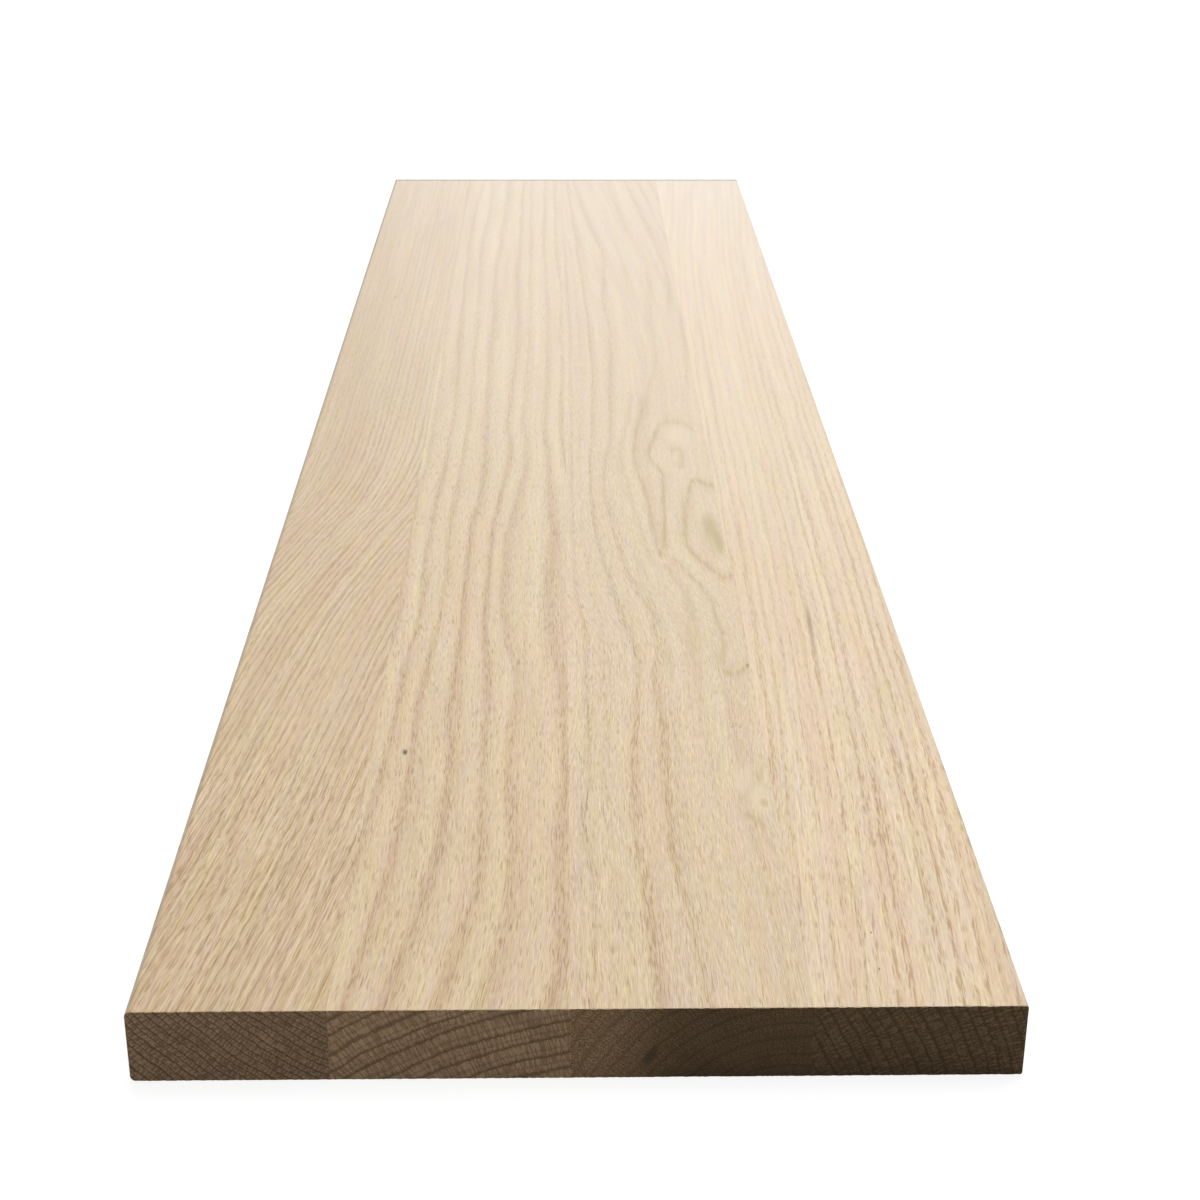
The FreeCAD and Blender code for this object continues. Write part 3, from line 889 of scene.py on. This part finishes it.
# The back stave's outer arris carries a faint strip of painted shade along its top
back_stave = planed_stave("back_stave", "back_stave_oak", outer_side=1, ease=BACK_EASE)
fit_stave(back_stave, "back_stave", oak_material(
    "back_stave_oak", back_figure, BACK_OAK, BACK_GRAIN, back_spots, back_lines,
    edge_strips=FAR_ARRIS + (("Across", 289.6, 291.6, 0.12, ARRIS_SHADE_GREY),),
))


# Studio floor: a wide white sheet under the tread. It shows white to the camera and
# in reflections, and keeps the tread's soft shadow.

FLOOR_SIZE = 60.0
FLOOR_DROP = 0.02 * MM
FLOOR_GREY = (0.20, 0.20, 0.20, 1)
FLOOR_GLOW = 0.9
WHITE = (1, 1, 1, 1)


def seen_directly(tree):
    """1 where the camera or a mirror looks at a surface, and 0 for the light it throws on others."""
    ray_kind = put(tree, "ShaderNodeLightPath").outputs
    mirrored = calc(tree, "MAXIMUM", ray_kind["Is Glossy Ray"], ray_kind["Is Transmission Ray"])
    return calc(tree, "MAXIMUM", ray_kind["Is Camera Ray"], mirrored)


bpy.ops.object.select_all(action="DESELECT")
bpy.ops.mesh.primitive_plane_add(size=FLOOR_SIZE, location=(0, 0, -FLOOR_DROP))
floor = bpy.context.object
floor.name = "studio_floor"
floor_paint = bpy.data.materials.new("studio_floor_white")
floor_paint.use_nodes = True
tree = floor_paint.node_tree
tree.nodes.clear()
matt = put(tree, "ShaderNodeBsdfDiffuse", Color=FLOOR_GREY)
glow_strength = calc(tree, "MULTIPLY", seen_directly(tree), FLOOR_GLOW)
glow = put(tree, "ShaderNodeEmission", Color=WHITE, Strength=glow_strength)
both = put(tree, "ShaderNodeAddShader")
feed(tree, both.inputs[0], matt.outputs[0])
feed(tree, both.inputs[1], glow.outputs[0])
put(tree, "ShaderNodeOutputMaterial", Surface=both.outputs[0])
floor.data.materials.append(floor_paint)


# Studio light: a white surround that is seen and reflected, a broad soft key from
# above and behind, a large panel behind on the right and a small high one on the left
# for the sheen, a softbox over the near end, weak side fills, and a low end spot.

SURROUND_FILL = 0.08
world = bpy.data.worlds.new("white_surround")
bpy.context.scene.world = world
world.use_nodes = True
tree = world.node_tree
tree.nodes.clear()
level = calc(tree, "MULTIPLY_ADD", seen_directly(tree), 1.0 - SURROUND_FILL, SURROUND_FILL)
surround = put(tree, "ShaderNodeBackground", Color=WHITE, Strength=level)
put(tree, "ShaderNodeOutputWorld", Surface=surround.outputs[0])


def lamp(name, kind, stand, target, energy, **settings):
    """A lamp on its stand, turned to face a target."""
    data = bpy.data.lights.new(name, kind)
    data.energy = energy
    for setting, value in settings.items():
        setattr(data, setting, value)
    item = bpy.data.objects.new(name, data)
    bpy.context.scene.collection.objects.link(item)
    item.location = stand
    item.rotation_euler = (Vector(target) - Vector(stand)).to_track_quat("-Z", "Y").to_euler()


def panel(name, stand, target, energy, width, height):
    """A flat rectangular lamp."""
    lamp(name, "AREA", stand, target, energy, shape="RECTANGLE", size=width, size_y=height)


lamp("key_sky", "SUN", (-1.2, 0.35, 2.0), (0, 0, 0), 2.28, angle=radians(50))
panel("back_panel", (-6.0, 2.35, 1.9), (0, 2.35, 1.9), 79.0, width=6.0, height=3.4)
panel("high_panel", (-6.0, -1.25, 3.3), (0, -1.25, 3.3), 9.0, width=1.3, height=1.8)
panel("near_softbox", (0.45, 0.0, 0.95), (0.45, 0, 0), 1.9, width=0.3, height=0.8)
for side, power in ((-1, 4.0), (1, 7.0)):
    panel("side_fill", (-0.2, 1.8 * side, 0.7), (-0.2, 0, 0), power, width=1.2, height=0.8)
lamp(
    "end_spot", "SPOT", (1.81, -0.75, 0.018), (0.6, -0.355, 0.014), 17.0, spot_size=radians(30),
    spot_blend=0.1, shadow_soft_size=0.01,
)


# Camera: a short telephoto lens on a stand, half a metre from the near end and 0.4 m
# up, looking down along the tread.

CAMERA_PLACE = (1.1741, -0.0046, 0.4197)
CAMERA_TURN, CAMERA_TILT, CAMERA_ROLL = radians(88.873), radians(66.23), radians(0.25)
LENS_LENGTH = 62.82
SENSOR_WIDTH = 36.0
CLOSEST_SEEN = 0.01
lens = bpy.data.cameras.new("photo_camera")
lens.lens = LENS_LENGTH
lens.sensor_width = SENSOR_WIDTH
lens.clip_start = CLOSEST_SEEN
camera = bpy.data.objects.new("photo_camera", lens)
bpy.context.scene.collection.objects.link(camera)
camera.matrix_world = (
    Matrix.Translation(CAMERA_PLACE)
    @ Matrix.Rotation(CAMERA_TURN, 4, "Z")
    @ Matrix.Rotation(CAMERA_TILT, 4, "X")
    @ Matrix.Rotation(CAMERA_ROLL, 4, "Z")
)
bpy.context.scene.camera = camera
